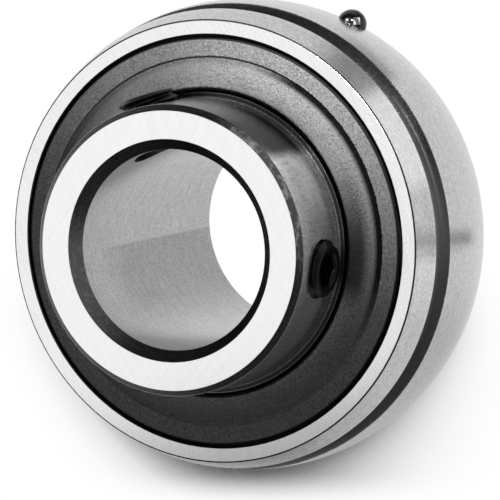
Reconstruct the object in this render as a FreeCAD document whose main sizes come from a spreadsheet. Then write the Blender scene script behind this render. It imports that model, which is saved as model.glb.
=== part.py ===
"""Insert bearing with a spherical outside surface, modelled piece by piece in millimetres.

The origin is the centre of the spherical surface, on the bore's axis. +Z runs along the bore towards
the long end of the inner ring, which carries the two set screws, and +X runs through set screw 1.
"""
import FreeCAD, Part
import math
import os

import Sketcher

BALLS = 8

SIZES = {
    # inner ring
    "bore_diameter": 20.0,
    "inner_width": 31.0,
    "short_side": 12.7,
    "inner_wall": 4.5,
    "bore_chamfer": 1.1,
    "rim_chamfer": 0.6,
    # outer ring
    "sphere_diameter": 47.0,
    "outer_width": 16.0,
    "side_face": 1.5,
    "edge_break": 0.12,
    "seat_undercut": 0.35,
    "seat_width": 0.8,
    "seat_ledge": 1.65,
    "groove_middle": 3.8,
    "groove_width": 2.4,
    "groove_depth": 1.0,
    "grease_hole_diameter": 2.0,
    "grease_hole_angle": 200.0,
    # ball that keeps the outer ring from turning in its housing
    "locating_ball_diameter": 3.0,
    "locating_ball_offset": 4.5,
    "locating_ball_angle": 73.0,
    "locating_ball_proud": 1.35,
    "locating_hole_play": 0.01,
    # balls and raceways
    "ball_diameter": 7.938,
    "ball_play": 0.03,
    "inner_conformity": 1.04,
    "outer_conformity": 1.05,
    # ribbon cage
    "cage_sheet": 0.8,
    "cage_inner_gap": 0.5,
    "cage_outer_gap": 0.7,
    "pocket_play": 0.12,
    "rivet_diameter": 1.2,
    "rivet_hole_play": 0.02,
    "rivet_head_diameter": 2.2,
    "rivet_head_height": 0.5,
    # seals
    "seal_room": 0.5,
    "seal_sheet": 0.6,
    "seal_seat_play": 0.05,
    "rubber_width": 1.7,
    "rubber_overlap": 1.0,
    "rubber_skin": 0.3,
    "lip_root": 0.75,
    "lip_edge": 0.2,
    "lip_reach": 0.35,
    "lip_gap": 0.15,
    # slingers
    "slinger_sheet": 0.5,
    "slinger_collar_height": 1.3,
    "slinger_clear": 0.45,
    "slinger_fold_gap": 0.2,
    "slinger_bend": 0.65,
    "slinger_slope": 45.0,
    "slinger_step": 0.3,
    "slope_share": 0.606,
    "hump_share": 0.7,
    "dish_share": 0.22,
    "slinger_gap": 0.37,
    "slinger_stand": 0.1,
    # set screws
    "screw_diameter": 6.0,
    "screw_length": 5.0,
    "screw_from_end": 5.0,
    "screw_spread": 115.0,
    "screw_play": 0.03,
    "screw_recess": 0.2,
    "second_screw_out": 0.4,
    "screw_chamfer": 0.45,
    "screw_cup_diameter": 3.2,
    "screw_cup_depth": 0.7,
    "socket_across_flats": 3.0,
    "socket_depth": 2.4,
}

# worked-out radii and heights, as expressions on the sheet
BORE_R = "(Sizes.bore_diameter / 2)"
RING_R = f"({BORE_R} + Sizes.inner_wall)"
LONG_Z = "(Sizes.inner_width - Sizes.short_side)"
SHORT_Z = "(0 - Sizes.short_side)"
SPHERE_R = "(Sizes.sphere_diameter / 2)"
SIDE_Z = "(Sizes.outer_width / 2)"
BALL_R = "(Sizes.ball_diameter / 2)"
SIDE_R = f"sqrt({SPHERE_R} ^ 2 - {SIDE_Z} ^ 2)"
MOUTH_R = f"({SIDE_R} - Sizes.side_face)"
SEAT_R = f"({MOUTH_R} + Sizes.seat_undercut)"
LAND_R = f"({SEAT_R} - Sizes.seat_ledge)"
PITCH_R = f"(({RING_R} + {LAND_R}) / 2)"
POCKET_R = f"({BALL_R} + Sizes.pocket_play)"
BULGE_R = f"({POCKET_R} + Sizes.cage_sheet)"
SEAT_Z = f"({BULGE_R} + Sizes.seal_room)"
CAGE_IN_R = f"({RING_R} + Sizes.cage_inner_gap)"
CAGE_OUT_R = f"({LAND_R} - Sizes.cage_outer_gap)"
RIVET_R = f"(({CAGE_IN_R} + {CAGE_OUT_R}) / 2)"
SCREW_Z = f"({LONG_Z} - Sizes.screw_from_end)"
LOCATING_R = (f"sqrt(({SPHERE_R} + Sizes.locating_ball_proud - Sizes.locating_ball_diameter / 2) ^ 2"
              " - Sizes.locating_ball_offset ^ 2)")
SEAL_LOW = f"({SEAT_Z} + Sizes.seal_seat_play)"
SEAL_HIGH = f"({SEAL_LOW} + Sizes.seal_sheet)"
JOINT_R = f"({RING_R} + Sizes.rubber_width)"
LIP_Z = f"({SEAL_HIGH} + Sizes.lip_reach)"
SCREW_ANGLES = ("0", "Sizes.screw_spread")
# radius at which each screw's cup point stands; the second is turned out further than the first
SCREW_STARTS = (f"{BORE_R} + Sizes.screw_recess", f"{BORE_R} + Sizes.screw_recess + Sizes.second_screw_out")

doc = FreeCAD.newDocument("insert_bearing")
sheet = doc.addObject("Spreadsheet::Sheet", "Sizes")
for row, (alias, size) in enumerate(SIZES.items(), start=1):
    sheet.set(f"A{row}", alias)
    sheet.set(f"B{row}", str(size))
    sheet.setAlias(f"B{row}", alias)
doc.recompute()


def value(expression):
    """The number that an expression on the sheet gives now."""
    return float(sheet.evalExpression(expression))


def origin_part(body, role):
    """One of the body's own origin planes or axes, found by its role."""
    return next(part for part in body.Origin.OriginFeatures if part.Role == role)


def new_body(label):
    body = doc.addObject("PartDesign::Body", label)
    body.Label = label
    return body


def new_sketch(body, name, role):
    sketch = body.newObject("Sketcher::SketchObject", name)
    sketch.AttachmentSupport = [(origin_part(body, role), "")]
    sketch.MapMode = "FlatFace"
    return sketch


def arc_between(start, end, centre, turn):
    """The arc about a centre from start to end: turn is 1 where it runs anticlockwise, -1 clockwise."""
    first, last = (start, end) if turn > 0 else (end, start)
    angles = [math.atan2(spot.y - centre.y, spot.x - centre.x) for spot in (first, last)]
    if angles[1] <= angles[0]:
        angles[1] += 2 * math.pi
    round_it = Part.Circle(centre, FreeCAD.Vector(0, 0, 1), (start - centre).Length)
    return Part.ArcOfCircle(round_it, *angles)


def hold(sketch, kind, edge, point, expression):
    """One constraint bound to the sheet."""
    number = sketch.addConstraint(Sketcher.Constraint(kind, edge, point, value(expression)))
    sketch.setExpression(f"Constraints[{number}]", expression)


def outline(sketch, corners):
    """Closes a loop through corners (x, y), with (centre x, centre y, turn) between two of them where an
    arc joins them. Each corner and each centre is held by constraints bound to the sheet."""
    points, bends = [], {}
    for corner in corners:
        if len(corner) == 2:
            points.append(corner)
        else:
            bends[len(points) - 1] = corner
    spots = [FreeCAD.Vector(value(x), value(y), 0) for x, y in points]
    edges = []
    for k, start in enumerate(spots):
        end = spots[(k + 1) % len(spots)]
        if k in bends:
            x, y, turn = bends[k]
            curve = arc_between(start, end, FreeCAD.Vector(value(x), value(y), 0), turn)
            edges.append((sketch.addGeometry(curve, False), 1 if turn > 0 else 2, 2 if turn > 0 else 1))
        else:
            edges.append((sketch.addGeometry(Part.LineSegment(start, end), False), 1, 2))
    for k, (edge, first, _) in enumerate(edges):
        before, _, last = edges[k - 1]
        sketch.addConstraint(Sketcher.Constraint("Coincident", before, last, edge, first))
        hold(sketch, "DistanceX", edge, first, points[k][0])
        hold(sketch, "DistanceY", edge, first, points[k][1])
        if k in bends:
            chord = spots[(k + 1) % len(spots)] - spots[k]
            if abs(chord.x) > abs(chord.y):
                hold(sketch, "DistanceY", edge, 3, bends[k][1])
            else:
                hold(sketch, "DistanceX", edge, 3, bends[k][0])


def turned(body, sketch, kind="Revolution"):
    """Turns a half-section about the sketch's upright axis, as a solid or as a groove."""
    before = body.Shape.Volume if kind == "Groove" else 0
    feature = body.newObject(f"PartDesign::{kind}", f"{sketch.Name}_{kind.lower()}")
    feature.Profile = sketch
    feature.ReferenceAxis = (sketch, ["V_Axis"])
    feature.Angle = 360
    if kind == "Groove":
        must_remove(body, before, sketch.Name)


def must_remove(body, before, what):
    """A cut that misses its solid leaves the volume as it was, and is a mistake in the model."""
    doc.recompute()
    if body.Shape.Volume > before - 1e-6:
        raise ValueError(f"{what} removed nothing from {body.Label}")


def turned_piece(label, corners):
    body = new_body(label)
    sketch = new_sketch(body, f"{label}_section", "XZ_Plane")
    outline(sketch, corners)
    turned(body, sketch)
    doc.recompute()
    return body


def race_track(body, centre, radius):
    """Grinds the round-bottomed track of the balls into a ring."""
    sketch = new_sketch(body, f"{body.Label}_track", "XZ_Plane")
    edge = sketch.addGeometry(Part.Circle(FreeCAD.Vector(value(centre), 0, 0), FreeCAD.Vector(0, 0, 1),
                                          value(radius)), False)
    hold(sketch, "DistanceX", edge, 3, centre)
    hold(sketch, "DistanceY", edge, 3, "0")
    number = sketch.addConstraint(Sketcher.Constraint("Radius", edge, value(radius)))
    sketch.setExpression(f"Constraints[{number}]", radius)
    turned(body, sketch, "Groove")


def radial_place(angle, reach, height):
    """The placement whose Z axis points outwards at an angle round the bore."""
    base = f"vector(({reach}) * cos({angle}); ({reach}) * sin({angle}); {height})"
    aim = f"rotation(vector(0; 0; 1); {angle}) * rotation(vector(0; 1; 0); 90)"
    return f"placement({base}; {aim})"


def radial_hole(body, name, diameter, angle, height, start, length):
    """A round hole square to the bore, drilled outwards from a radius."""
    before = body.Shape.Volume
    hole = body.newObject("PartDesign::SubtractiveCylinder", name)
    hole.setExpression("Radius", f"({diameter}) / 2")
    hole.setExpression("Height", length)
    hole.setExpression("Placement", radial_place(angle, start, height))
    must_remove(body, before, name)


def make_inner_ring(label):
    """A cylinder longer at one end, chamfered at the bore, with two tapped holes near that end."""
    chamfer, rim = "Sizes.bore_chamfer", "Sizes.rim_chamfer"
    ring = turned_piece(label, [
        (BORE_R, f"{SHORT_Z} + {chamfer}"),
        (f"{BORE_R} + {chamfer}", SHORT_Z),
        (f"{RING_R} - {rim}", SHORT_Z),
        (RING_R, f"{SHORT_Z} + {rim}"),
        (RING_R, f"{LONG_Z} - {rim}"),
        (f"{RING_R} - {rim}", LONG_Z),
        (f"{BORE_R} + {chamfer}", LONG_Z),
        (BORE_R, f"{LONG_Z} - {chamfer}"),
    ])
    track = f"({BALL_R} * Sizes.inner_conformity)"
    race_track(ring, f"{PITCH_R} - {BALL_R} - Sizes.ball_play + {track}", track)
    for number, angle in enumerate(SCREW_ANGLES, start=1):
        radial_hole(ring, f"screw_hole_{number}", "Sizes.screw_diameter", angle, SCREW_Z,
                    f"{BORE_R} / 2", RING_R)
    return ring


def make_outer_ring(label):
    """Spherical outside, flat sides, a seal seat behind each mouth and a lubrication groove."""
    cut = "Sizes.edge_break"
    half = [
        (f"{MOUTH_R} + {cut}", SIDE_Z),
        (MOUTH_R, f"{SIDE_Z} - {cut}"),
        (MOUTH_R, f"{SEAT_Z} + Sizes.seat_width"),
        (SEAT_R, f"{SEAT_Z} + Sizes.seat_width"),
        (SEAT_R, SEAT_Z),
        (LAND_R, SEAT_Z),
    ]
    mirrored = [(radius, f"0 - ({height})") for radius, height in reversed(half)]
    rim_z = f"({SIDE_Z} - {cut})"
    rim_r = f"sqrt({SPHERE_R} ^ 2 - {rim_z} ^ 2)"
    ring = turned_piece(label, half + mirrored + [
        (f"{SIDE_R} - {cut}", f"0 - {SIDE_Z}"),
        (rim_r, f"0 - {rim_z}"),
        ("0", "0", 1),
        (rim_r, rim_z),
        (f"{SIDE_R} - {cut}", SIDE_Z),
    ])
    track = f"({BALL_R} * Sizes.outer_conformity)"
    race_track(ring, f"{PITCH_R} + {BALL_R} + Sizes.ball_play - {track}", track)

    groove = new_sketch(ring, "lubrication_groove", "XZ_Plane")
    low, high = (f"Sizes.groove_middle {sign} Sizes.groove_width / 2" for sign in "-+")
    floor, outside = f"{SPHERE_R} - Sizes.groove_depth", f"{SPHERE_R} + Sizes.groove_depth"
    outline(groove, [(floor, low), (outside, low), (outside, high), (floor, high)])
    turned(ring, groove, "Groove")
    radial_hole(ring, "grease_hole", "Sizes.grease_hole_diameter", "Sizes.grease_hole_angle",
                "Sizes.groove_middle", f"{LAND_R} - Sizes.cage_outer_gap", f"{SPHERE_R} - {LAND_R}")
    radial_hole(ring, "locating_hole", "Sizes.locating_ball_diameter + Sizes.locating_hole_play * 2",
                "Sizes.locating_ball_angle", "0 - Sizes.locating_ball_offset",
                f"{LOCATING_R} - Sizes.locating_ball_diameter / 2 - Sizes.locating_hole_play",
                "Sizes.locating_ball_diameter * 2")
    return ring


def make_ball(label, radius, angle, reach, height):
    ball = doc.addObject("Part::Sphere", label)
    ball.Label = label
    ball.setExpression("Radius", radius)
    ball.setExpression("Placement", radial_place(angle, reach, height))
    return ball


def make_disc(name, radius, height):
    disc = doc.addObject("Part::Cylinder", name)
    disc.setExpression("Radius", radius)
    disc.setExpression("Height", height)
    return disc


def joined(kind, name, *pieces):
    """A boolean of two or more pieces: Cut, MultiFuse or MultiCommon."""
    result = doc.addObject(f"Part::{kind}", name)
    if kind == "Cut":
        result.Base, result.Tool = pieces
    else:
        result.Shapes = list(pieces)
    return result


def ball_angle(number, share=0.0):
    """The angle of a ball, or of a place a share of the way on to the next one."""
    return f"{(number + share) * 360.0 / BALLS}"


def ball_ring(name, radius):
    """A sphere round every ball's centre, as one object."""
    return joined("MultiFuse", f"{name}s", *(
        make_ball(f"{name}_{k + 1}", radius, ball_angle(k), PITCH_R, "0") for k in range(BALLS)))


def strip_ring(name, height):
    """The flat ring of strip that fits between the two rings, up to a height."""
    return joined("Cut", name, make_disc(f"{name}_outside", CAGE_OUT_R, height),
                  make_disc(f"{name}_inside", CAGE_IN_R, height))


def make_cage_half(label):
    """A pressed strip that is flat between the balls and bulges into half a pocket round each ball."""
    raised = joined("MultiCommon", "cage_raised", strip_ring("cage_reach", f"{BULGE_R} * 2"),
                    ball_ring("cage_bulge", BULGE_R))
    pressed = joined("MultiFuse", "cage_pressed", strip_ring("cage_flat", "Sizes.cage_sheet"), raised)
    pocketed = joined("Cut", "cage_pocketed", pressed, ball_ring("cage_pocket", POCKET_R))
    holes = []
    for k in range(BALLS):
        hole = make_disc(f"rivet_hole_{k + 1}", "Sizes.rivet_diameter / 2 + Sizes.rivet_hole_play",
                         "Sizes.cage_sheet * 2")
        angle = ball_angle(k, 0.5)
        hole.setExpression("Placement.Base.x", f"{RIVET_R} * cos({angle})")
        hole.setExpression("Placement.Base.y", f"{RIVET_R} * sin({angle})")
        holes.append(hole)
    half = joined("Cut", label, pocketed, joined("MultiFuse", "rivet_holes", *holes))
    half.Label = label
    return half


def make_rivets(label):
    """A shank through both halves with a low domed head on each side, once between every two balls."""
    body = new_body(label)
    body.AllowCompound = True
    sketch = new_sketch(body, "rivet_section", "XZ_Plane")
    head_r, rise = "(Sizes.rivet_head_diameter / 2)", "Sizes.rivet_head_height"
    dome = f"(({head_r} ^ 2 + {rise} ^ 2) / (2 * {rise}))"
    shank, head = f"{RIVET_R} + Sizes.rivet_diameter / 2", f"{RIVET_R} + {head_r}"
    grip = "Sizes.cage_sheet"
    top = f"({grip} + {rise})"
    outline(sketch, [
        (RIVET_R, f"0 - {top}"),
        (RIVET_R, f"{dome} - {top}", 1),
        (head, f"0 - {grip}"),
        (shank, f"0 - {grip}"),
        (shank, grip),
        (head, grip),
        (RIVET_R, f"{top} - {dome}", 1),
        (RIVET_R, top),
    ])
    middle = value(RIVET_R)
    axis = sketch.addGeometry(Part.LineSegment(FreeCAD.Vector(middle, 0, 0),
                                               FreeCAD.Vector(middle, 1, 0)), True)
    for end, height in ((1, "0"), (2, "Sizes.cage_sheet")):
        hold(sketch, "DistanceX", axis, end, RIVET_R)
        hold(sketch, "DistanceY", axis, end, height)
    rivet = body.newObject("PartDesign::Revolution", "rivet")
    rivet.Profile = sketch
    rivet.ReferenceAxis = (sketch, ["Axis0"])
    rivet.Angle = 360
    doc.recompute()

    ring = body.newObject("PartDesign::PolarPattern", "rivet_ring")
    ring.Originals = [rivet]
    ring.Axis = (origin_part(body, "Z_Axis"), [""])
    ring.Angle = 360
    ring.Occurrences = BALLS
    body.Tip = ring
    body.Placement = FreeCAD.Placement(FreeCAD.Vector(), FreeCAD.Rotation(float(ball_angle(0, 0.5)), 0, 0))
    return body


def make_seal_carrier(label):
    """A flat steel washer sprung into the outer ring's seat."""
    return turned_piece(label, [
        (JOINT_R, SEAL_LOW), (f"{SEAT_R} - Sizes.seal_seat_play", SEAL_LOW),
        (f"{SEAT_R} - Sizes.seal_seat_play", SEAL_HIGH), (JOINT_R, SEAL_HIGH),
    ])


def make_seal_lip(label):
    """Rubber moulded on the washer's inner edge and under it, drawn out to a lip that points outwards."""
    tip = f"({RING_R} + Sizes.lip_gap)"
    under = f"{SEAL_LOW} - Sizes.rubber_skin"
    return turned_piece(label, [
        (JOINT_R, SEAL_LOW),
        (JOINT_R, SEAL_HIGH),
        (f"{tip} + Sizes.lip_root", SEAL_HIGH),
        (f"{tip} + Sizes.lip_edge", LIP_Z),
        (tip, LIP_Z),
        (f"{tip} + Sizes.lip_edge", under),
        (f"{JOINT_R} + Sizes.rubber_overlap", under),
        (f"{JOINT_R} + Sizes.rubber_overlap", SEAL_LOW),
    ])


def make_slinger(label):
    """A pressed washer on the inner ring: a collar folded back, a round hump, a step and a flat rim."""
    sheet_t, bend = "Sizes.slinger_sheet", "Sizes.slinger_bend"
    top = f"({SIDE_Z} + Sizes.slinger_stand)"
    collar = f"({RING_R} + {sheet_t})"
    riser = f"({collar} + Sizes.slinger_fold_gap)"
    outside = f"({riser} + {sheet_t})"
    fold = f"({LIP_Z} + Sizes.slinger_clear + ({outside} - {RING_R}) / 2)"
    rim = f"({MOUTH_R} - Sizes.slinger_gap)"
    start = f"({riser} + {bend})"
    slope_width = f"(({rim} - {start}) * Sizes.slope_share)"
    step = f"({start} + {slope_width})"
    dip = f"({top} - Sizes.slinger_step)"
    hump_r = f"({slope_width} * Sizes.hump_share)"
    dish_r = f"({slope_width} * Sizes.dish_share)"
    angle = "Sizes.slinger_slope"
    bends = f"({hump_r} + {dish_r})"
    crest = (f"({dip} + {bends} * (1 - cos({angle}))"
             f" + ({slope_width} - {bends} * sin({angle})) * tan({angle}))")
    hump_z, dish_z = f"({crest} - {hump_r})", f"({dip} + {dish_r})"

    def on_hump(radius):
        return f"{start} + {radius} * sin({angle})", f"{hump_z} + {radius} * cos({angle})"

    def on_dish(radius):
        return f"{step} - {radius} * sin({angle})", f"{dish_z} - {radius} * cos({angle})"

    collar_top = f"{top} + Sizes.slinger_collar_height"
    return turned_piece(label, [
        (RING_R, fold),
        (RING_R, collar_top),
        (collar, collar_top),
        (collar, fold),
        (f"({collar} + {riser}) / 2", fold, 1),
        (riser, fold),
        (riser, f"{crest} - {bend}"),
        (start, f"{crest} - {bend}", -1),
        (start, crest),
        (start, hump_z, -1),
        on_hump(hump_r),
        on_dish(dish_r),
        (step, dish_z, 1),
        (step, dip),
        (step, top),
        (rim, top),
        (rim, f"{top} - {sheet_t}"),
        (f"{step} + Sizes.slinger_step", f"{top} - {sheet_t}"),
        (step, f"{dip} - {sheet_t}"),
        (step, dish_z, -1),
        on_dish(f"({dish_r} + {sheet_t})"),
        on_hump(f"({hump_r} - {sheet_t})"),
        (start, hump_z, 1),
        (start, f"{crest} - {sheet_t}"),
        (start, f"{crest} - {bend}", 1),
        (outside, f"{crest} - {bend}"),
        (outside, fold),
        (f"({RING_R} + {outside}) / 2", fold, -1),
    ])


def make_set_screw(label, angle, start):
    """A headless screw: cup point towards the bore, chamfered outer end with a six-sided socket."""
    thread = "(Sizes.screw_diameter / 2 - Sizes.screw_play)"
    cup, length = "(Sizes.screw_cup_diameter / 2)", "Sizes.screw_length"
    screw = turned_piece(label, [
        ("0", "Sizes.screw_cup_depth"),
        (cup, "0"),
        (thread, f"{thread} - {cup}"),
        (thread, f"{length} - Sizes.screw_chamfer"),
        (f"{thread} - Sizes.screw_chamfer", length),
        ("0", length),
    ])
    sketch = new_sketch(screw, f"{label}_socket_outline", "XY_Plane")
    sketch.setExpression("AttachmentOffset.Base.z", length)
    corner = "(Sizes.socket_across_flats / 2 / cos(30))"
    outline(sketch, [(f"{corner} * cos({60 * k})", f"{corner} * sin({60 * k})") for k in range(6)])
    before = screw.Shape.Volume
    socket = screw.newObject("PartDesign::Pocket", f"{label}_socket")
    socket.Profile = sketch
    socket.setExpression("Length", "Sizes.socket_depth")
    must_remove(screw, before, "the socket")
    screw.setExpression("Placement", radial_place(angle, start, SCREW_Z))
    return screw


def make_flipped(label, piece):
    """The same piece fitted the other way round on the other side of the balls."""
    flipped = doc.addObject("Part::Mirroring", label)
    flipped.Label = label
    flipped.Source = piece
    flipped.Normal = FreeCAD.Vector(0, 0, 1)
    return flipped


pieces = [make_inner_ring("inner_ring"), make_outer_ring("outer_ring")]
pieces += [make_ball(f"ball_{k + 1}", BALL_R, ball_angle(k), PITCH_R, "0") for k in range(BALLS)]
for make, stem in ((make_cage_half, "cage_half"), (make_seal_carrier, "seal_carrier"),
                   (make_seal_lip, "seal_lip"), (make_slinger, "slinger")):
    front = make(f"front_{stem}")
    pieces += [front, make_flipped(f"rear_{stem}", front)]
pieces += [make_rivets("cage_rivets")]
pieces += [make_set_screw(f"set_screw_{k + 1}", SCREW_ANGLES[k], SCREW_STARTS[k]) for k in range(2)]
pieces += [make_ball("locating_ball", "Sizes.locating_ball_diameter / 2", "Sizes.locating_ball_angle",
                     LOCATING_R, "0 - Sizes.locating_ball_offset")]
doc.recompute()

for item in doc.Objects:
    if {"Invalid", "Error"} & set(item.State):
        raise ValueError(f"{item.Label} failed: {item.State}")
for piece in pieces:
    if piece.Shape.isNull() or not piece.Shape.isValid():
        raise ValueError(f"{piece.Label} has no valid shape")

os.makedirs("parts", exist_ok=True)
for piece in pieces:
    piece.Shape.exportStep(f"parts/{piece.Label}.step")
    box = piece.Shape.BoundBox
    print(f"{piece.Label:20s} solids {len(piece.Shape.Solids)}  volume {piece.Shape.Volume:9.2f}"
          f"  z {box.ZMin:7.2f} to {box.ZMax:6.2f}")
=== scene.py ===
import math

import bpy
import numpy as np
from mathutils import Matrix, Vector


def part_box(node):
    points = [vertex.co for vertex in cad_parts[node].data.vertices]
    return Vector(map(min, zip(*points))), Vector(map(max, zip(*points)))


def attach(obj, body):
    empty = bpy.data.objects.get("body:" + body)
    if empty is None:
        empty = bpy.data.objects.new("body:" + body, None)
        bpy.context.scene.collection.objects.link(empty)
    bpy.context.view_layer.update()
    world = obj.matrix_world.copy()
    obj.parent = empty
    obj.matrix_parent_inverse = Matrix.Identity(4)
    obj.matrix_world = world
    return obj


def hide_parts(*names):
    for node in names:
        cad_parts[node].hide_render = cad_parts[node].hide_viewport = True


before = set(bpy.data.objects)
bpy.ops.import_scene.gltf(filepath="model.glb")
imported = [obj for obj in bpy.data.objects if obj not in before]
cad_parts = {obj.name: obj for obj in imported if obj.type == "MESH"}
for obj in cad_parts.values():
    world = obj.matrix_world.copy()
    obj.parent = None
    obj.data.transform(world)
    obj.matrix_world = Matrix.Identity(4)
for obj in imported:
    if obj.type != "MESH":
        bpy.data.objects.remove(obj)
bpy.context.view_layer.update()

# Camera. The bearing stands on the short end of its inner ring and is seen from above, tilted towards
# the set screws. Its angles and its scale were fitted to the circles that the photograph shows.
TILT, TURN, ROLL = (math.radians(angle) for angle in (26.3, 20.0, 12.0))
PICTURE_WIDTH, SENSOR_WIDTH, PIXELS_PER_METRE = 500, 36.0, 10030.0
STAND_OFF, OFF_RIGHT, OFF_UP = 1.8, 0.0997e-3, -1.605e-3
AXIS = np.array([0.0, 0.0, 1.0])
NEAR = np.array([math.cos(TURN), math.sin(TURN), 0.0])
FAR = np.array([-math.sin(TURN), math.cos(TURN), 0.0])
sight = AXIS * math.cos(TILT) + NEAR * math.sin(TILT)
level = NEAR * math.cos(TILT) - AXIS * math.sin(TILT)
right = level * math.cos(ROLL) - FAR * math.sin(ROLL)
up = level * math.sin(ROLL) + FAR * math.cos(ROLL)
eye = right * OFF_RIGHT + up * OFF_UP + sight * STAND_OFF

camera = bpy.data.objects.new("view", bpy.data.cameras.new("view"))
camera.matrix_world = Matrix([[*row, place] for row, place in zip(np.stack([right, up, sight], 1), eye)]
                             + [[0, 0, 0, 1]])
camera.data.sensor_width = SENSOR_WIDTH
camera.data.lens = PIXELS_PER_METRE * STAND_OFF / PICTURE_WIDTH * SENSOR_WIDTH
bpy.context.scene.collection.objects.link(camera)
bpy.context.scene.camera = camera

# Inner ring. Hardened bearing steel, turned, then ground on its ends, its bore and its outside. The
# chamfers keep the darker turned skin, with scuffs and a painted sheen on one side. A dark reflection is
# painted on a patch of the outside, and shade deeper in the bore, which is painted lighter round one side.
RING_LOW, RING_HIGH = (corner.z * 1000 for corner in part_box("inner_ring"))
RING_R, BORE_R, END_FACE_R, CHAMFER_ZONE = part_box("inner_ring")[1].x * 1000, 10.0, 12.3, 1.2
END_TONE, OUTSIDE_TONE, BORE_TONE, CHAMFER_TONE, HIDDEN_TONE = 0.95, 0.96, 0.40, 0.05, 0.10
END_ROUGH, OUTSIDE_ROUGH, BORE_ROUGH, CHAMFER_ROUGH, HIDDEN_ROUGH = 0.30, 0.22, 0.28, 0.32, 0.50
DARK_REFLECTION_TURNS, DARK_REFLECTION_DEPTH = (25.0, 32.0, 45.0, 84.0), 0.93
BORE_SHADE_TURNS, BORE_SHADE_DEPTH = (-10.0, -8.2, 16.0, 52.0), 0.26
BORE_EDGE_SHEEN_TURNS, RIM_SHEEN_TURNS = (-40.0, -5.0, 25.0, 60.0), (-25.0, 0.0, 40.0, 62.0)
OUTSIDE_VEIL = 0.17


class Shade:
    """A socket in a material's nodes. Arithmetic on it adds Math nodes, and node() adds any other."""

    def __init__(self, tree, socket=None):
        self.tree, self.socket = tree, socket

    def node(self, kind, settings=None, sockets=None, out=0):
        made = self.tree.nodes.new("ShaderNode" + kind)
        for name, setting in (settings or {}).items():
            setattr(made, name, setting)
        for name, given in (sockets or {}).items():
            if isinstance(given, Shade):
                self.tree.links.new(given.socket, made.inputs[name])
            else:
                made.inputs[name].default_value = given
        return Shade(self.tree, made.outputs[out])

    def maths(self, operation, *values):
        return self.node("Math", {"operation": operation}, dict(enumerate(values)))

    def __add__(self, other):
        return self.maths("ADD", self, other)

    def __mul__(self, other):
        return self.maths("MULTIPLY", self, other)

    def __sub__(self, other):
        return self.maths("SUBTRACT", self, other)

    def __rsub__(self, other):
        return self.maths("SUBTRACT", other, self)

    def __truediv__(self, other):
        return self.maths("DIVIDE", self, other)

    def __pow__(self, other):
        return self.maths("POWER", self, other)

    __radd__, __rmul__ = __add__, __mul__

    def at_most(self, most):
        return self.maths("MINIMUM", self, most)

    def unsigned(self):
        return self.maths("ABSOLUTE", self)

    def step(self, low, high):
        """0 below low and 1 above high, with a smooth rise between; the other way round if low > high."""
        return self.node("MapRange", {"interpolation_type": "SMOOTHSTEP"},
                         {"Value": self, "From Min": low, "From Max": high})

    def between(self, rise, full, fade, gone):
        """0 up to rise, 1 from full to fade and 0 again past gone, with smooth sides."""
        return self.step(rise, full) * self.step(gone, fade)

    def mix(self, other, mask):
        return self + (other - self) * mask


def new_finish(name):
    """A material with no nodes yet, and the place on its piece in millimetres: x, y, z and radius."""
    material = bpy.data.materials.new(name)
    material.use_nodes = True
    material.node_tree.nodes.clear()
    shade = Shade(material.node_tree)
    place = shade.node("TexCoord", out="Object")
    place = shade.node("VectorMath", {"operation": "SCALE"}, {0: place, "Scale": 1000.0})
    x, y, z = (shade.node("SeparateXYZ", sockets={0: place}, out=k) for k in range(3))
    return material, shade, place, x, y, z, (x * x + y * y) ** 0.5


def vector(shade, x, y, z):
    return shade.node("CombineXYZ", sockets={0: x, 1: y, 2: z})


def along(axis, *place):
    """How far a place lies along an axis: the sum of the products of their parts."""
    total = place[0] * float(axis[0])
    for part, share in zip(place[1:], axis[1:]):
        total = total + part * float(share)
    return total


def bearing_angle(shade, x, y):
    """The angle round the axis in degrees, from -180 to 180, 0 towards NEAR and 90 towards FAR."""
    angle = shade.node("Math", {"operation": "ARCTAN2"}, {0: along(FAR, x, y), 1: along(NEAR, x, y)})
    return angle * (180 / math.pi)


def noise(shade, place, scale, detail=2.0, rough=0.5):
    """Noise from 0 to 1 about a mean of a half."""
    return shade.node("TexNoise", {"noise_dimensions": "3D"},
                      {"Vector": place, "Scale": scale, "Detail": detail, "Roughness": rough})


def turned_lines(shade, x, y, z, radius, lines, length=2.5):
    """Fine lines round the axis: noise stretched round the circle and close-set across it."""
    place = vector(shade, x / radius * length, y / radius * length, (radius + z * 1.31) * lines)
    return noise(shade, place, 1.0, 3.0, 0.6) - 0.5


def drawn_scratches(shade, x, y, z, radius, around, upward, rough):
    """Scratches along the axis: noise close-set round the circle and stretched along the piece."""
    place = vector(shade, x / radius * around, y / radius * around, z * upward)
    return noise(shade, place, 1.0, 3.0, rough) - 0.5


def ground_arcs(shade, x, y, centre_x, centre_y, lines):
    """Arcs about a centre beside the piece, as a cup wheel leaves on a flat face."""
    reach = ((x - centre_x) ** 2.0 + (y - centre_y) ** 2.0) ** 0.5
    return noise(shade, vector(shade, reach * lines, x * 0.12, y * 0.12), 1.0, 3.0, 0.6) - 0.5


def surface_output(shade, shader, kind="OutputMaterial"):
    output = shade.tree.nodes.new("ShaderNode" + kind)
    shade.tree.links.new(shader.socket, output.inputs["Surface"])


def metal_surface(shade, tone, roughness, height, metallic=1.0, plane=None, **sockets):
    """The material's surface. The tone is a grey, and the height is in millimetres. Where plane is 1, the
    surface is as flat as its mesh, so that a ground face stays plane up to its edge."""
    bump = {"Strength": 1.0, "Distance": 0.001, "Height": height}
    if plane is not None:
        rounded, flat = (shade.node("NewGeometry", out=name) for name in ("Normal", "True Normal"))
        bump["Normal"] = shade.node("Mix", {"data_type": "VECTOR"}, {0: plane, 4: rounded, 5: flat}, out=1)
    given = {"Base Color": tone, "Roughness": roughness, "Metallic": metallic,
             "Normal": shade.node("Bump", sockets=bump), **sockets}
    surface_output(shade, shade.node("BsdfPrincipled", sockets=given))


def dress(material, *nodes):
    for name in nodes:
        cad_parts[name].material_slots[0].material = material


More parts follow.
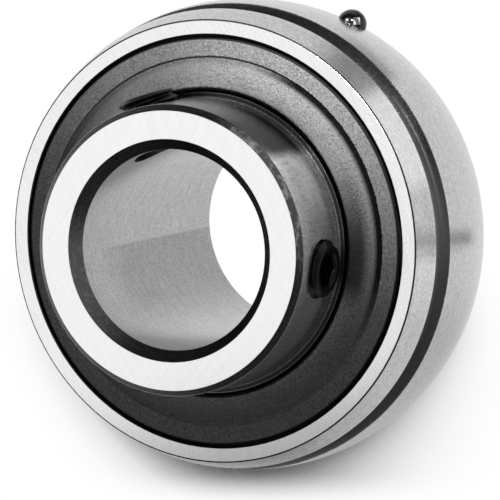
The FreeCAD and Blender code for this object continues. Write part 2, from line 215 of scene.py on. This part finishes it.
ring_finish, shade, place, x, y, z, radius = new_finish("ground_inner_ring")
turn, back = bearing_angle(shade, x, y), bearing_angle(shade, 0.0 - x, 0.0 - y)
on_end = z.step(RING_HIGH - 0.03, RING_HIGH - 0.01) + z.step(RING_LOW + 0.03, RING_LOW + 0.01)
outside = radius.step(RING_R - 0.03, RING_R - 0.01)
in_bore = radius.step(BORE_R + 0.03, BORE_R + 0.01)
ground = (on_end + outside + in_bore).at_most(1.0)
near_end = (z.step(RING_HIGH - CHAMFER_ZONE, RING_HIGH - CHAMFER_ZONE + 0.05)
            + z.step(RING_LOW + CHAMFER_ZONE, RING_LOW + CHAMFER_ZONE - 0.05))
chamfer, hidden = near_end * (1.0 - ground), (1.0 - near_end) * (1.0 - ground)
on_rim = radius.step(END_FACE_R - 0.1, END_FACE_R + 0.1)

arcs = ground_arcs(shade, x, y, -60.0, 30.0, 5.0) + ground_arcs(shade, x, y, 55.0, 42.0, 5.0)
lines = turned_lines(shade, x, y, z, radius, 9.0)
coarse = turned_lines(shade, x, y, z, radius, 4.0, 6.0)
smear = drawn_scratches(shade, x, y, z, radius, 34.0, 0.25, 0.65)
scratch = drawn_scratches(shade, x, y, z, radius, 50.0, 0.9, 0.7)
cloud = noise(shade, place, 0.22, 2.0) - 0.5
grain = noise(shade, place, 5.0, 2.0) - 0.5
fine_grain = noise(shade, place, 7.0, 2.0) - 0.5
scuffs = noise(shade, vector(shade, x / radius * 14.0, y / radius * 14.0, z * 2.5), 1.0, 4.0, 0.7)
scuffs = scuffs.step(0.46, 0.66)

# Painted dark reflection on a patch of the outside.
painted_dark_reflection = turn.between(*DARK_REFLECTION_TURNS) * outside * (0.8 + z.step(10.2, 11.5) * 0.2)
# Painted shade deeper in the bore, with random clouding.
bore_painted_shade = back.between(*BORE_SHADE_TURNS) * z.step(14.0, 7.0) + cloud * 0.3
# Scuffs on the chamfers, with a painted sheen that lightens one side of each.
rim_scuffs_and_sheen = on_rim * turn.between(*RIM_SHEEN_TURNS)
bore_edge_scuffs_and_sheen = (1.0 - on_rim) * back.between(*BORE_EDGE_SHEEN_TURNS)
outside_tone = OUTSIDE_TONE + coarse + smear * 0.5 + scratch * 1.4 + grain
# The bore is painted lighter round one side.
bore_tone = BORE_TONE + coarse * 0.34 + fine_grain * 0.55 + smear * 0.10 + back.step(25.0, 70.0) * 0.08
chamfer_tone = (CHAMFER_TONE + lines * 0.10 + grain * 0.10 + rim_scuffs_and_sheen * (0.10 + scuffs * 0.35)
                + bore_edge_scuffs_and_sheen * (0.10 + scuffs * 0.06))
tone = on_end * (END_TONE + arcs * 0.14) + outside * outside_tone * (1.0 - on_end)
tone = tone * (1.0 - painted_dark_reflection * DARK_REFLECTION_DEPTH) + in_bore * bore_tone * (1.0 - bore_painted_shade * BORE_SHADE_DEPTH)
tone = tone + chamfer * chamfer_tone + hidden * HIDDEN_TONE
rough = (on_end * END_ROUGH + outside * OUTSIDE_ROUGH + in_bore * BORE_ROUGH + chamfer * CHAMFER_ROUGH
         + hidden * HIDDEN_ROUGH)
height = arcs * on_end * 0.003 + lines * (outside * 0.003 + in_bore * 0.004 + chamfer * 0.004)
veiled = outside * (1.0 - on_end) * (1.0 - painted_dark_reflection)
metal_surface(shade, tone, rough, height, 1.0 - veiled * OUTSIDE_VEIL)
dress(ring_finish, "inner_ring")

# Balls. Through-hardened steel, lapped to a mirror. They run between the rings in grease, spaced by the
# cage and hidden behind the seals.
ball_finish, shade, place, x, y, z, radius = new_finish("lapped_ball")
haze = noise(shade, place, 3.0, 3.0)
metal_surface(shade, 0.72 + haze * 0.08, 0.05 + haze * 0.06, noise(shade, place, 9.0) * 0.0004)
dress(ball_finish, *(f"ball_{k}" for k in range(1, 9)))

# Cage. Two ribbons of low-carbon strip pressed into pockets round the balls, tumbled to a satin grey
# and riveted together between them.
cage_finish, shade, place, x, y, z, radius = new_finish("pressed_cage_strip")
tumbled = noise(shade, place, 6.0, 4.0, 0.65)
metal_surface(shade, 0.42 + tumbled * 0.22, 0.30 + tumbled * 0.2, tumbled * 0.012)
dress(cage_finish, "front_cage_half", "rear_cage_half", "cage_rivets")

# Outer ring. The same steel, ground to a sphere that tilts in its housing, with flat ground sides. The
# lubrication groove, the broken edges and the mouth behind the side faces keep the dark turned skin. A
# sheen is painted on the band above the groove, shade on its lower span, and highlights in the groove.
SPHERE_R, SIDE_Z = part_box("outer_ring")[1].x * 1000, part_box("outer_ring")[1].z * 1000
MOUTH_R, EDGE_R, GROOVE_R, GROOVE_LOW, GROOVE_HIGH = 20.6, 21.83, 22.5, 2.6, 5.0
SPHERE_TONE, SIDE_TONE, TURNED_TONE = 0.52, 0.90, 0.09
SPHERE_ROUGH, SIDE_ROUGH, TURNED_ROUGH, EDGE_ROUGH = 0.24, 0.26, 0.34, 0.60
UPPER_PAINTED_SHEEN, LOWER_PAINTED_SHEEN = (0.0, 6.0, 24.0, 40.0), (-66.0, -46.0, -18.0, -14.0)
LOWER_PAINTED_SHADE, GROOVE_HIGHLIGHT_TURNS = (-135.0, -110.0, -88.0, -62.0), (-16.0, 4.0, 20.0, 30.0)

outer_finish, shade, place, x, y, z, radius = new_finish("ground_outer_ring")
turn, from_middle, reach = bearing_angle(shade, x, y), z.unsigned(), (radius * radius + z * z) ** 0.5
on_sphere = reach.step(SPHERE_R - 0.10, SPHERE_R - 0.06) * from_middle.step(SIDE_Z - 0.11, SIDE_Z - 0.13)
on_side = from_middle.step(SIDE_Z - 0.02, SIDE_Z - 0.005) * radius.step(MOUTH_R, MOUTH_R + 0.1)
turned = (1.0 - on_side) * (1.0 - on_sphere)
on_edge = from_middle.step(SIDE_Z - 0.16, SIDE_Z - 0.14) * radius.step(EDGE_R - 0.05, EDGE_R + 0.05)
front_band = z.step(GROOVE_HIGH - 0.1, GROOVE_HIGH + 0.1)
# Painted sheen on the band above the groove, over two spans of its circumference.
band_painted_sheen = front_band * (turn.between(*UPPER_PAINTED_SHEEN) + turn.between(*LOWER_PAINTED_SHEEN) * 0.6)
# Painted shade on the band and the groove's lower edge over one span of the circumference.
band_painted_shade = (front_band + z.step(GROOVE_LOW + 0.4, GROOVE_LOW) * 0.6) * turn.between(*LOWER_PAINTED_SHADE)
in_groove = radius.step(GROOVE_R - 0.1, GROOVE_R - 0.05) * from_middle.step(GROOVE_HIGH + 0.1, GROOVE_HIGH)
groove_floor = radius.step(GROOVE_R + 0.08, GROOVE_R + 0.03)
# Painted sheen over one side of the groove, and a painted highlight along its lower corner.
groove_painted_sheen = turn.step(34.0, 4.0) * groove_floor.mix(1.0, turn.step(14.0, -12.0))
groove_painted_highlight = (z.step(GROOVE_LOW + 0.3, GROOVE_LOW + 0.1) * radius.step(GROOVE_R + 0.35, GROOVE_R + 0.15)
            * turn.between(*GROOVE_HIGHLIGHT_TURNS))

lines = turned_lines(shade, x, y, z, radius, 4.0, 40.0)
coarse = turned_lines(shade, x, y, z, radius, 1.6, 1.2)
arcs = ground_arcs(shade, x, y, -70.0, -35.0, 6.0)
grain = noise(shade, place, 4.5, 3.0, 0.65) - 0.5
sphere_tone = SPHERE_TONE + band_painted_sheen * 0.20 - band_painted_shade * 0.30 + lines * 0.40 + coarse * 0.16 + grain * 0.45
groove_tone = groove_painted_sheen * 0.20 + groove_painted_highlight * 0.05 - 0.03
turned_tone = (TURNED_TONE + lines * 0.10 + in_groove * groove_tone) * (1.0 - on_edge * 0.3)
tone = on_sphere * sphere_tone * (1.0 - on_side) + turned * turned_tone
tone = tone + on_side * (SIDE_TONE + arcs * 0.18 + grain * 0.26)
rough = on_sphere * SPHERE_ROUGH + on_side * SIDE_ROUGH + turned * (TURNED_ROUGH + on_edge * EDGE_ROUGH)
height = lines * (on_sphere * 0.0025 + turned * 0.008) + arcs * on_side * 0.003 + grain * 0.002
metal_surface(shade, tone, rough, height, plane=(on_side + on_edge).at_most(1.0))
dress(outer_finish, "outer_ring")

# Locating ball. A small hardened ball, blued by its heat treatment, is pressed into a hole in the sphere
# and keeps the outer ring from turning in its housing. Two small highlights are painted on its side
# towards the view.
BALL_TONE, HIGHLIGHT_TONE, PATCH_EDGE = 0.03, 0.9, 0.04
PAINTED_HIGHLIGHT_PATCHES = ((0.48, 0.30, 0.32, 0.36), (-0.48, 0.42, 0.13, 0.12))
ball_at = (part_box("locating_ball")[0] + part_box("locating_ball")[1]) / 2 * 1000

locating_finish, shade, place, x, y, z, radius = new_finish("blued_locating_ball")
haze = noise(shade, place, 5.0, 3.0)
from_centre = x - ball_at.x, y - ball_at.y, z - ball_at.z
facing = along(sight, *from_centre).step(0.0, 0.1)
# Two painted highlights on the side of the ball that faces the view.
painted_highlights = 0.0
for to_right, to_top, half_width, half_height in PAINTED_HIGHLIGHT_PATCHES:
    across = (along(right, *from_centre) - to_right).unsigned()
    upward = (along(up, *from_centre) - to_top).unsigned()
    painted_highlights = (across.step(half_width + PATCH_EDGE, half_width - PATCH_EDGE)
               * upward.step(half_height + PATCH_EDGE, half_height - PATCH_EDGE) + painted_highlights)
metal_surface(shade, BALL_TONE + haze * 0.025 + facing * painted_highlights * HIGHLIGHT_TONE, 0.04 + haze * 0.05,
              haze * 0.0005)
dress(locating_finish, "locating_ball")

# Seals. A steel washer with a black phosphate skin is sprung into the outer ring on each side, with a lip
# of nitrile rubber moulded on its inner edge that rides just off the inner ring.
carrier_finish, shade, place, x, y, z, radius = new_finish("phosphated_seal_washer")
skin = noise(shade, place, 4.0, 4.0, 0.6)
metal_surface(shade, 0.012 + skin * 0.018, 0.55 + skin * 0.2, skin * 0.006, 0.0)
dress(carrier_finish, "front_seal_carrier", "rear_seal_carrier")

rubber_finish, shade, place, x, y, z, radius = new_finish("nitrile_seal_lip")
skin = noise(shade, place, 8.0, 3.0)
metal_surface(shade, 0.018 + skin * 0.012, 0.5 + skin * 0.15, skin * 0.01, 0.0)
dress(rubber_finish, "front_seal_lip", "rear_seal_lip")

# Slingers. Steel sheet pressed to a hump, a step and a flat rim, folded back to grip the inner ring, and
# blasted before a thin grey coat, which leaves a fine even stipple. Painted on it are shade in the fold,
# the dish and the gap at the rim's edge, a dark reflection beside the first set screw, highlights on the
# collar's edges, and light over one side.
COLLAR_R, FOLD_R, DISH_R, RIM_EDGE_R = 15.03, 15.42, 18.50, 20.08
SLINGER_TONE, COLLAR_TONE, SLINGER_ROUGH, COLLAR_SMOOTHER = 0.42, 0.03, 0.62, 0.37
SCREW_REFLECTION_TURNS, DISH_SHADE = (-36.0, -24.0, -14.0, 24.0), (-60.0, -20.0, 46.0, 66.0)
PAINTED_LIGHT_SIDE = (92.0, 116.0, 135.0, 165.0)

slinger_finish, shade, place, x, y, z, radius = new_finish("blasted_slinger")
turn = bearing_angle(shade, x, y)
stipple = noise(shade, place, 5.5, 3.0, 0.7) - 0.5
pits = noise(shade, place, 8.0, 2.0, 0.6).step(0.54, 0.66)
cloud = noise(shade, place, 0.5, 3.0) - 0.5
ragged = radius + stipple * 0.25
# Painted dark reflection of the first set screw on the hump beside it.
screw_painted_reflection = turn.between(*SCREW_REFLECTION_TURNS) * ragged.step(17.6, 16.7) * z.step(0.0, 1.0)
# Painted shade in the dish inside the step, deeper on some sides.
dish_painted_shade = (ragged.between(17.6, 18.05, DISH_R, DISH_R + 0.08) * (0.30 + turn.between(*DISH_SHADE) * 0.67)
           + ragged.between(16.4, 18.3, DISH_R, DISH_R + 0.08) * turn.step(98.0, 128.0) * 0.2)
# Painted shade in the fold between the collar and the hump.
fold_painted_shade = radius.step(COLLAR_R - 0.01, COLLAR_R + 0.03) * ragged.step(FOLD_R + 0.2, FOLD_R)
# Painted shade at the rim's edge, in the gap to the outer ring.
rim_gap_painted_shade = ragged.step(RIM_EDGE_R, RIM_EDGE_R + 0.06)
collar = radius.step(COLLAR_R + 0.01, COLLAR_R - 0.01)
# Painted highlights on the collar's two edges.
collar_edge_highlights = radius.step(14.90, 14.96) + radius.step(14.60, 14.54)
# One side of the slinger is painted lighter; the stipple, pits and clouding are the coat's own.
tone = SLINGER_TONE + turn.between(*PAINTED_LIGHT_SIDE) * 0.14 + stipple * 1.05 - pits * 0.18 + cloud * 0.10
tone = tone * (1.0 - dish_painted_shade) * (1.0 - screw_painted_reflection * 0.86) * (1.0 - fold_painted_shade * 0.97) * (1.0 - rim_gap_painted_shade * 0.9)
tone = tone.mix(COLLAR_TONE + collar_edge_highlights * (0.10 + stipple * 0.2), collar)
rough = SLINGER_ROUGH + stipple * 0.2 - collar * COLLAR_SMOOTHER
height = (stipple * 0.10 - pits * 0.03) * (1.0 - collar * 0.8)
metal_surface(shade, tone, rough, height, collar + dish_painted_shade * turn.step(66.0, 46.0),
              **{"Specular IOR Level": 0.25})
dress(slinger_finish, "front_slinger", "rear_slinger")

# Set screws. Headless M6 alloy screws with a cup point and a hexagon socket, threads rolled, black
# oxide with a film of oil. Each clamps the shaft through its tapped hole. The second stands further out.
SCREW_Z, SCREW_ANGLES, SCREW_STARTS = 13.3, (0.0, 115.0), (10.2, 10.6)
SCREW_R, SCREW_LENGTH, THREAD_PITCH, THREAD_DEPTH, ACROSS_FLATS = 2.97, 5.0, 1.0, 0.5, 3.0
CUP_R, CUP_DEPTH, END_CHAMFER = 1.6, 0.7, 0.45
SOCKET_DEPTH, SOCKET_LEAD, DRILL_POINT = 2.4, 0.15, 0.3
TURN_STEPS, LENGTH_STEPS = 96, 141


def wrapped_skin(name, rings, start, end):
    """A closed surface through rings of points (rows x columns x 3), with a point at each end."""
    rows, columns = rings.shape[:2]
    points = np.concatenate([rings.reshape(-1, 3), [start, end]])
    row, here = np.meshgrid(np.arange(rows - 1) * columns, np.arange(columns), indexing="ij")
    there = (here + 1) % columns
    walls = np.stack([row + here, row + there, row + columns + there, row + columns + here], -1)
    here, there = here[0], there[0]
    first, last = rows * columns, (rows - 1) * columns
    caps = [np.stack([np.full(columns, first), there, here], -1),
            np.stack([np.full(columns, first + 1), last + here, last + there], -1)]
    mesh = bpy.data.meshes.new(name)
    mesh.from_pydata(points.tolist(), [], walls.reshape(-1, 4).tolist() + np.concatenate(caps).tolist())
    mesh.polygons.foreach_set("use_smooth", np.ones(len(mesh.polygons), bool))
    piece = bpy.data.objects.new(name, mesh)
    bpy.context.scene.collection.objects.link(piece)
    return piece


def set_screw(name, angle, start):
    """Radius over length and angle: a round-cornered saw of one pitch wound round the axis, cut down to
    a 45 degree cone at each end; then the end face, a hexagon inwards, and a drill point."""
    turn = np.linspace(0, 2 * np.pi, TURN_STEPS, endpoint=False)[None, :]
    length = np.linspace(0, SCREW_LENGTH, LENGTH_STEPS)[:, None]
    wave = np.abs((length / THREAD_PITCH - turn / (2 * np.pi)) % 1.0 - 0.5) * 2.0
    thread = SCREW_R - THREAD_DEPTH * np.clip(wave * 1.25 - 0.12, 0.0, 1.0)
    limit = np.minimum(CUP_R + length, SCREW_R - END_CHAMFER + SCREW_LENGTH - length)
    across = (turn + np.pi / 6) % (np.pi / 3) - np.pi / 6
    hexagon = ACROSS_FLATS / 2 / np.cos(across)
    rows = [(CUP_DEPTH * (1 - share) + length[:1], CUP_R * share + 0 * turn) for share in (0.1, 0.4, 0.8, 0.97)]
    rows += [(length[k:k + 1], np.minimum(thread[k:k + 1], limit[k:k + 1])) for k in range(LENGTH_STEPS)]
    top = np.array([[SCREW_LENGTH]])
    mouth = ACROSS_FLATS / 2 / math.cos(math.pi / 6) + SOCKET_LEAD
    rows += [(top, mouth + 0.35 + 0 * turn), (top, mouth + 0.02 + 0 * turn), (top - 0.02, mouth + 0 * turn),
             (top - SOCKET_LEAD, np.minimum(hexagon, mouth - SOCKET_LEAD * 0.6))]
    rows += [(top - depth, hexagon) for depth in (SOCKET_LEAD * 2, 1.0, SOCKET_DEPTH - 0.03)]
    rows += [(top - SOCKET_DEPTH, hexagon * 0.97), (top - SOCKET_DEPTH - 0.01, hexagon * 0.8)]
    s = np.concatenate([np.broadcast_to(place, (1, TURN_STEPS)) for place, _ in rows])
    r = np.concatenate([reach for _, reach in rows])
    out, side = (np.array([math.cos(a), math.sin(a), 0.0]) for a in (angle, angle + math.pi / 2))
    base = out * start + AXIS * SCREW_Z

    def at(s, r, t):
        return (base + np.multiply.outer(s, out) + np.multiply.outer(r * np.cos(t), side)
                + np.multiply.outer(r * np.sin(t), AXIS)) / 1000
    return wrapped_skin(name, at(s, r, np.broadcast_to(turn, s.shape)), at(CUP_DEPTH, 0.0, 0.0),
                        at(SCREW_LENGTH - SOCKET_DEPTH - DRILL_POINT, 0.0, 0.0))


screw_finish, shade, place, x, y, z, radius = new_finish("black_oxide_screw")
oil = noise(shade, place, 2.5, 3.0)
rub = noise(shade, place, 7.0, 3.0, 0.6) - 0.5
metal_surface(shade, 0.012 + oil * 0.016, 0.24 + oil * 0.2, rub * 0.01)
for number, (angle, start) in enumerate(zip(SCREW_ANGLES, SCREW_STARTS), start=1):
    screw = set_screw(f"threaded_set_screw_{number}", math.radians(angle), start)
    screw.data.materials.append(screw_finish)
    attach(screw, f"set_screw_{number}")
    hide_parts(f"set_screw_{number}")
    dress(screw_finish, f"set_screw_{number}")

# Table, flags and lamp of a small studio. The table is white where it is seen, down to the soft shadow
# that the bearing leaves towards the picture's lower edge. Flags and grey cards, which only reflections
# show, give the steel something dark to show.
FLOOR_Z, FLOOR_HALF, FLOOR_TONE = RING_LOW / 1000, 1.5, 0.8
AMBIENT, SOFTBOX, CARD_DEPTH = 0.06, 0.96, 0.60
SHADE_REACH, SHADE_TURN, SHADE_RISE, SHADE_SAMPLES = 0.017, 30.0, 20.0, 64
SHADOW_GAIN, SHADOW_MOST, FOOT_R = 14.0, 0.92, 11.8
FLAG_AWAY, FLAG_RISE, FLAG_GAP, FLAG_SIDES = 0.5, math.radians(32), 0.01, 48
FLAG_LEVEL, LOWER_FLAG_LEVEL, LOWER_FLAG_Z = 0.17, 0.35, 0.045
LOWER_FLAG = ((-0.12, -0.018), (-0.12, -0.08), (0.06, -0.08), (0.06, -0.018))
KEY_TURN, KEY_RISE, KEY_AWAY, KEY_RADIUS = 50.0, 50.0, 0.6, 0.015
KEY_AIM, KEY_AIM_Z, BEAM_RADIUS, KEY_LEVEL = 0.099, 0.009, 0.064, 9.8


def direction(turn, rise):
    """The unit vector at an angle from NEAR, round the axis, and an angle above the table."""
    turn, rise = math.radians(turn), math.radians(rise)
    return (NEAR * math.cos(turn) + FAR * math.sin(turn)) * math.cos(rise) + AXIS * math.sin(rise)


def seen_directly(shade):
    """1 for the rays that show the surface itself: from the camera, in a reflection or through glass."""
    kinds = ("Is Camera Ray", "Is Glossy Ray", "Is Transmission Ray")
    camera_ray, glossy_ray, glass_ray = (shade.node("LightPath", out=kind) for kind in kinds)
    return (camera_ray + glossy_ray + glass_ray).at_most(1.0)


def stage_piece(name, points, faces, material):
    mesh = bpy.data.meshes.new(name)
    mesh.from_pydata(points, [], faces)
    mesh.materials.append(material)
    piece = bpy.data.objects.new(name, mesh)
    bpy.context.scene.collection.objects.link(piece)
    return piece


def stage_flag(name, points, faces, level):
    """A grey flag that only reflections show."""
    flag_finish, shade = new_finish(name + "_cloth")[:2]
    surface_output(shade, shade.node("Emission", sockets={"Strength": level}))
    flag = stage_piece(name, points, faces, flag_finish)
    flag.visible_camera = flag.visible_diffuse = flag.visible_shadow = flag.visible_transmission = False


floor_finish, shade, place, x, y, z, radius = new_finish("pale_table")
turn, below = bearing_angle(shade, x, y), along(-up, x, y)
in_steel = shade.node("LightPath", out="Is Glossy Ray")
towards = vector(shade, *(float(part) for part in direction(SHADE_TURN, SHADE_RISE)))
covered = 1.0 - shade.node("AmbientOcclusion", {"samples": SHADE_SAMPLES},
                           {"Distance": SHADE_REACH, "Normal": towards}, out="AO")
shadow = (covered ** 3.0 * SHADOW_GAIN).at_most(SHADOW_MOST) * below.between(3.0, 13.0, 25.0, 29.0)
open_sky = 1.0 - shadow * radius.step(FOOT_R - 0.6, FOOT_R) * (1.0 - in_steel * 0.5)
grey_card = (turn.between(36.0, 40.0, 50.0, 66.0) * radius.step(29.0, 33.0)
             + turn.between(-17.0, -15.5, -13.5, -11.0) * radius.step(24.0, 28.0)
             + turn.step(-20.0, -48.0) * radius.step(20.0, 25.0) * 0.42)
glow = shade.node("Emission", sockets={"Strength": open_sky * (1.0 - grey_card * in_steel * CARD_DEPTH)})
matt = shade.node("BsdfDiffuse", sockets={"Color": (FLOOR_TONE,) * 3 + (1.0,)})
surface_output(shade, shade.node("MixShader", sockets={0: seen_directly(shade), 1: matt, 2: glow}))
corners = [(FLOOR_HALF * i, FLOOR_HALF * j, FLOOR_Z) for i, j in ((-1, -1), (1, -1), (1, 1), (-1, 1))]
stage_piece("table", corners, [(0, 1, 2, 3)], floor_finish)

turns = np.linspace(0, 2 * np.pi, FLAG_SIDES, endpoint=False)
wall = [(FLAG_AWAY * math.cos(t), FLAG_AWAY * math.sin(t), FLOOR_Z + rise)
        for rise in (FLAG_GAP, FLAG_AWAY * math.tan(FLAG_RISE)) for t in turns]
stage_flag("flag_wall", wall, [(k, (k + 1) % FLAG_SIDES, (k + 1) % FLAG_SIDES + FLAG_SIDES, k + FLAG_SIDES)
                               for k in range(FLAG_SIDES)], FLAG_LEVEL)
corners = [NEAR * near + FAR * far + AXIS * LOWER_FLAG_Z for near, far in LOWER_FLAG]
stage_flag("lower_flag", [tuple(corner) for corner in corners], [(0, 1, 2, 3)], LOWER_FLAG_LEVEL)

studio = bpy.data.worlds.new("studio")
studio.use_nodes = True
studio.node_tree.nodes.clear()
bpy.context.scene.world = studio
shade = Shade(studio.node_tree)
in_steel = shade.node("LightPath", out="Is Glossy Ray")
level_seen = AMBIENT + seen_directly(shade) * (1.0 - AMBIENT) + in_steel * (SOFTBOX - 1.0)
sky = shade.node("Background", sockets={"Color": (1.0, 1.0, 1.0, 1.0), "Strength": level_seen})
surface_output(shade, sky, "OutputWorld")


def place_lamp(light, spot, aim):
    """The lamp stands at a spot and shines at another: its own z points back, away from its beam."""
    back = (spot - aim) / np.linalg.norm(spot - aim)
    side = np.cross(AXIS, back) / np.linalg.norm(np.cross(AXIS, back))
    columns = np.stack([side, np.cross(back, side), back], 1)
    light.matrix_world = Matrix([[*row, at] for row, at in zip(columns, spot)] + [[0, 0, 0, 1]])
    bpy.context.scene.collection.objects.link(light)


key = bpy.data.objects.new("key", bpy.data.lights.new("key", "SPOT"))
key.data.shadow_soft_size = KEY_RADIUS
key.data.spot_size, key.data.spot_blend = 2 * math.atan(BEAM_RADIUS / KEY_AWAY), 1.0
key.data.energy = KEY_LEVEL * KEY_AWAY ** 2 * 4 * math.pi ** 2
aim = direction(KEY_TURN, 0.0) * KEY_AIM + AXIS * KEY_AIM_Z
place_lamp(key, aim + direction(KEY_TURN, KEY_RISE) * KEY_AWAY, aim)

bpy.context.scene.view_settings.view_transform = "Standard"
